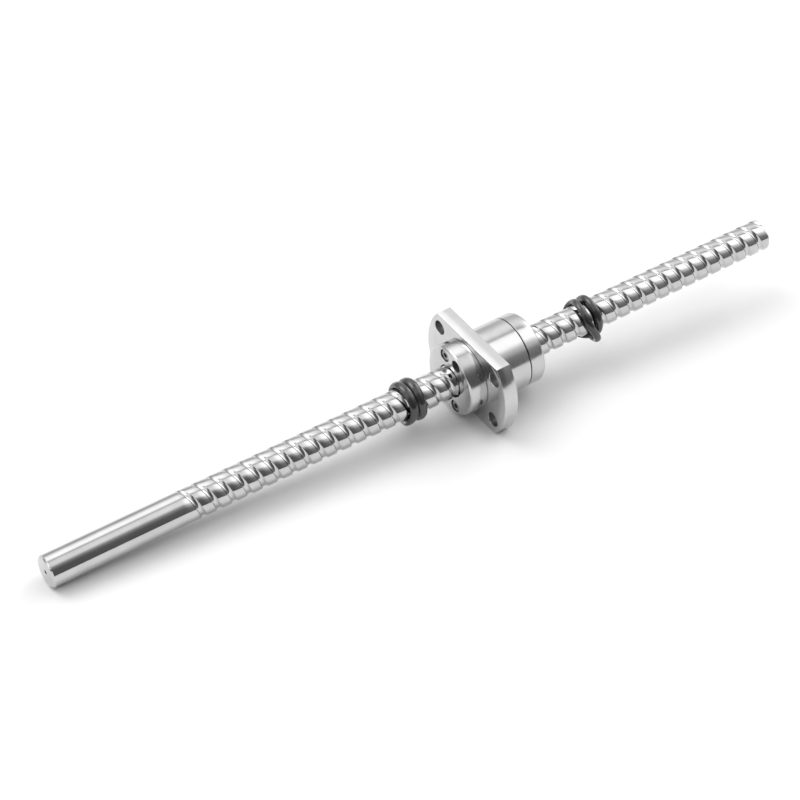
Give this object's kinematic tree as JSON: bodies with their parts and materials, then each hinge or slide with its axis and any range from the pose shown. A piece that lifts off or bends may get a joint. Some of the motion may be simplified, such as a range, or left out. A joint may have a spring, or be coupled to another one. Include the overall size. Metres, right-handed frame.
{
  "type": "ball screw assembly",
  "caption": "Miniature ball screw with a smooth journal end, a flanged recirculating ball nut with bolted end caps, and rubber bands that stop the nut.",
  "frame": {"origin": "on the screw's axis, half way along the screw, which is the centre of the object's box", "axes": "+X along the screw from the smooth journal to the threaded end, +Z square to the flats of the nut's flange, +Y along the flange's long direction"},
  "size_m": [0.25, 0.039, 0.0254],
  "materials": {
    "screw_shaft": "ground and polished",
    "left_band": "satin",
    "right_band": "satin",
    "body_seal_ring": "satin",
    "nut_body": "fine ground",
    "front_end_cap": "fine ground",
    "rear_end_cap": "fine ground",
    "front_wiper": "matte",
    "rear_wiper": "matte",
    "front_cap_screw_1": "black oxide",
    "front_cap_screw_2": "black oxide",
    "rear_cap_screw_1": "black oxide",
    "rear_cap_screw_2": "black oxide",
    "ball_a01": "polished",
    "ball_a02": "polished",
    "ball_a03": "polished",
    "ball_a04": "polished",
    "ball_a05": "polished",
    "ball_a06": "polished",
    "ball_a07": "polished",
    "ball_a08": "polished",
    "ball_a09": "polished",
    "ball_a10": "polished",
    "ball_a11": "polished",
    "ball_a12": "polished",
    "ball_a13": "polished",
    "ball_a14": "polished",
    "ball_a15": "polished",
    "ball_a16": "polished",
    "ball_a17": "polished",
    "ball_a18": "polished",
    "ball_b01": "polished",
    "ball_b02": "polished",
    "ball_b03": "polished",
    "ball_b04": "polished",
    "ball_b05": "polished",
    "ball_b06": "polished",
    "ball_b07": "polished",
    "ball_b08": "polished",
    "ball_b09": "polished",
    "ball_b10": "polished",
    "ball_b11": "polished",
    "ball_b12": "polished",
    "ball_b13": "polished",
    "ball_b14": "polished",
    "ball_b15": "polished",
    "ball_b16": "polished",
    "ball_b17": "polished",
    "ball_b18": "polished"
  },
  "bodies": {
    "screw": {"screw_shaft": "screw_shaft", "left_band": "left_band", "right_band": "right_band"},
    "carriage": {"body_seal_ring": "body_seal_ring"},
    "nut": {"nut_body": "nut_body", "front_end_cap": "front_end_cap", "rear_end_cap": "rear_end_cap", "front_wiper": "front_wiper", "rear_wiper": "rear_wiper", "front_cap_screw_1": "front_cap_screw_1", "front_cap_screw_2": "front_cap_screw_2", "rear_cap_screw_1": "rear_cap_screw_1", "rear_cap_screw_2": "rear_cap_screw_2", "ball_a01": "ball_a01", "ball_a02": "ball_a02", "ball_a03": "ball_a03", "ball_a04": "ball_a04", "ball_a05": "ball_a05", "ball_a06": "ball_a06", "ball_a07": "ball_a07", "ball_a08": "ball_a08", "ball_a09": "ball_a09", "ball_a10": "ball_a10", "ball_a11": "ball_a11", "ball_a12": "ball_a12", "ball_a13": "ball_a13", "ball_a14": "ball_a14", "ball_a15": "ball_a15", "ball_a16": "ball_a16", "ball_a17": "ball_a17", "ball_a18": "ball_a18", "ball_b01": "ball_b01", "ball_b02": "ball_b02", "ball_b03": "ball_b03", "ball_b04": "ball_b04", "ball_b05": "ball_b05", "ball_b06": "ball_b06", "ball_b07": "ball_b07", "ball_b08": "ball_b08", "ball_b09": "ball_b09", "ball_b10": "ball_b10", "ball_b11": "ball_b11", "ball_b12": "ball_b12", "ball_b13": "ball_b13", "ball_b14": "ball_b14", "ball_b15": "ball_b15", "ball_b16": "ball_b16", "ball_b17": "ball_b17", "ball_b18": "ball_b18"}
  },
  "joints": [
    {"name": "nut_travel", "type": "slide", "parent": "screw", "child": "carriage", "axis": [1, 0, 0], "range_m": [-0.0109, 0.0184]},
    {"name": "nut_spin", "type": "hinge", "parent": "carriage", "child": "nut", "pos_m": [0.0164, 0, 0], "axis": [1, 0, 0], "range_deg": [-390, 660]}
  ],
  "couplings": [
    {"joint": "nut_travel", "follows": "nut_spin", "m_per_rad": 0.0015915}
  ]
}
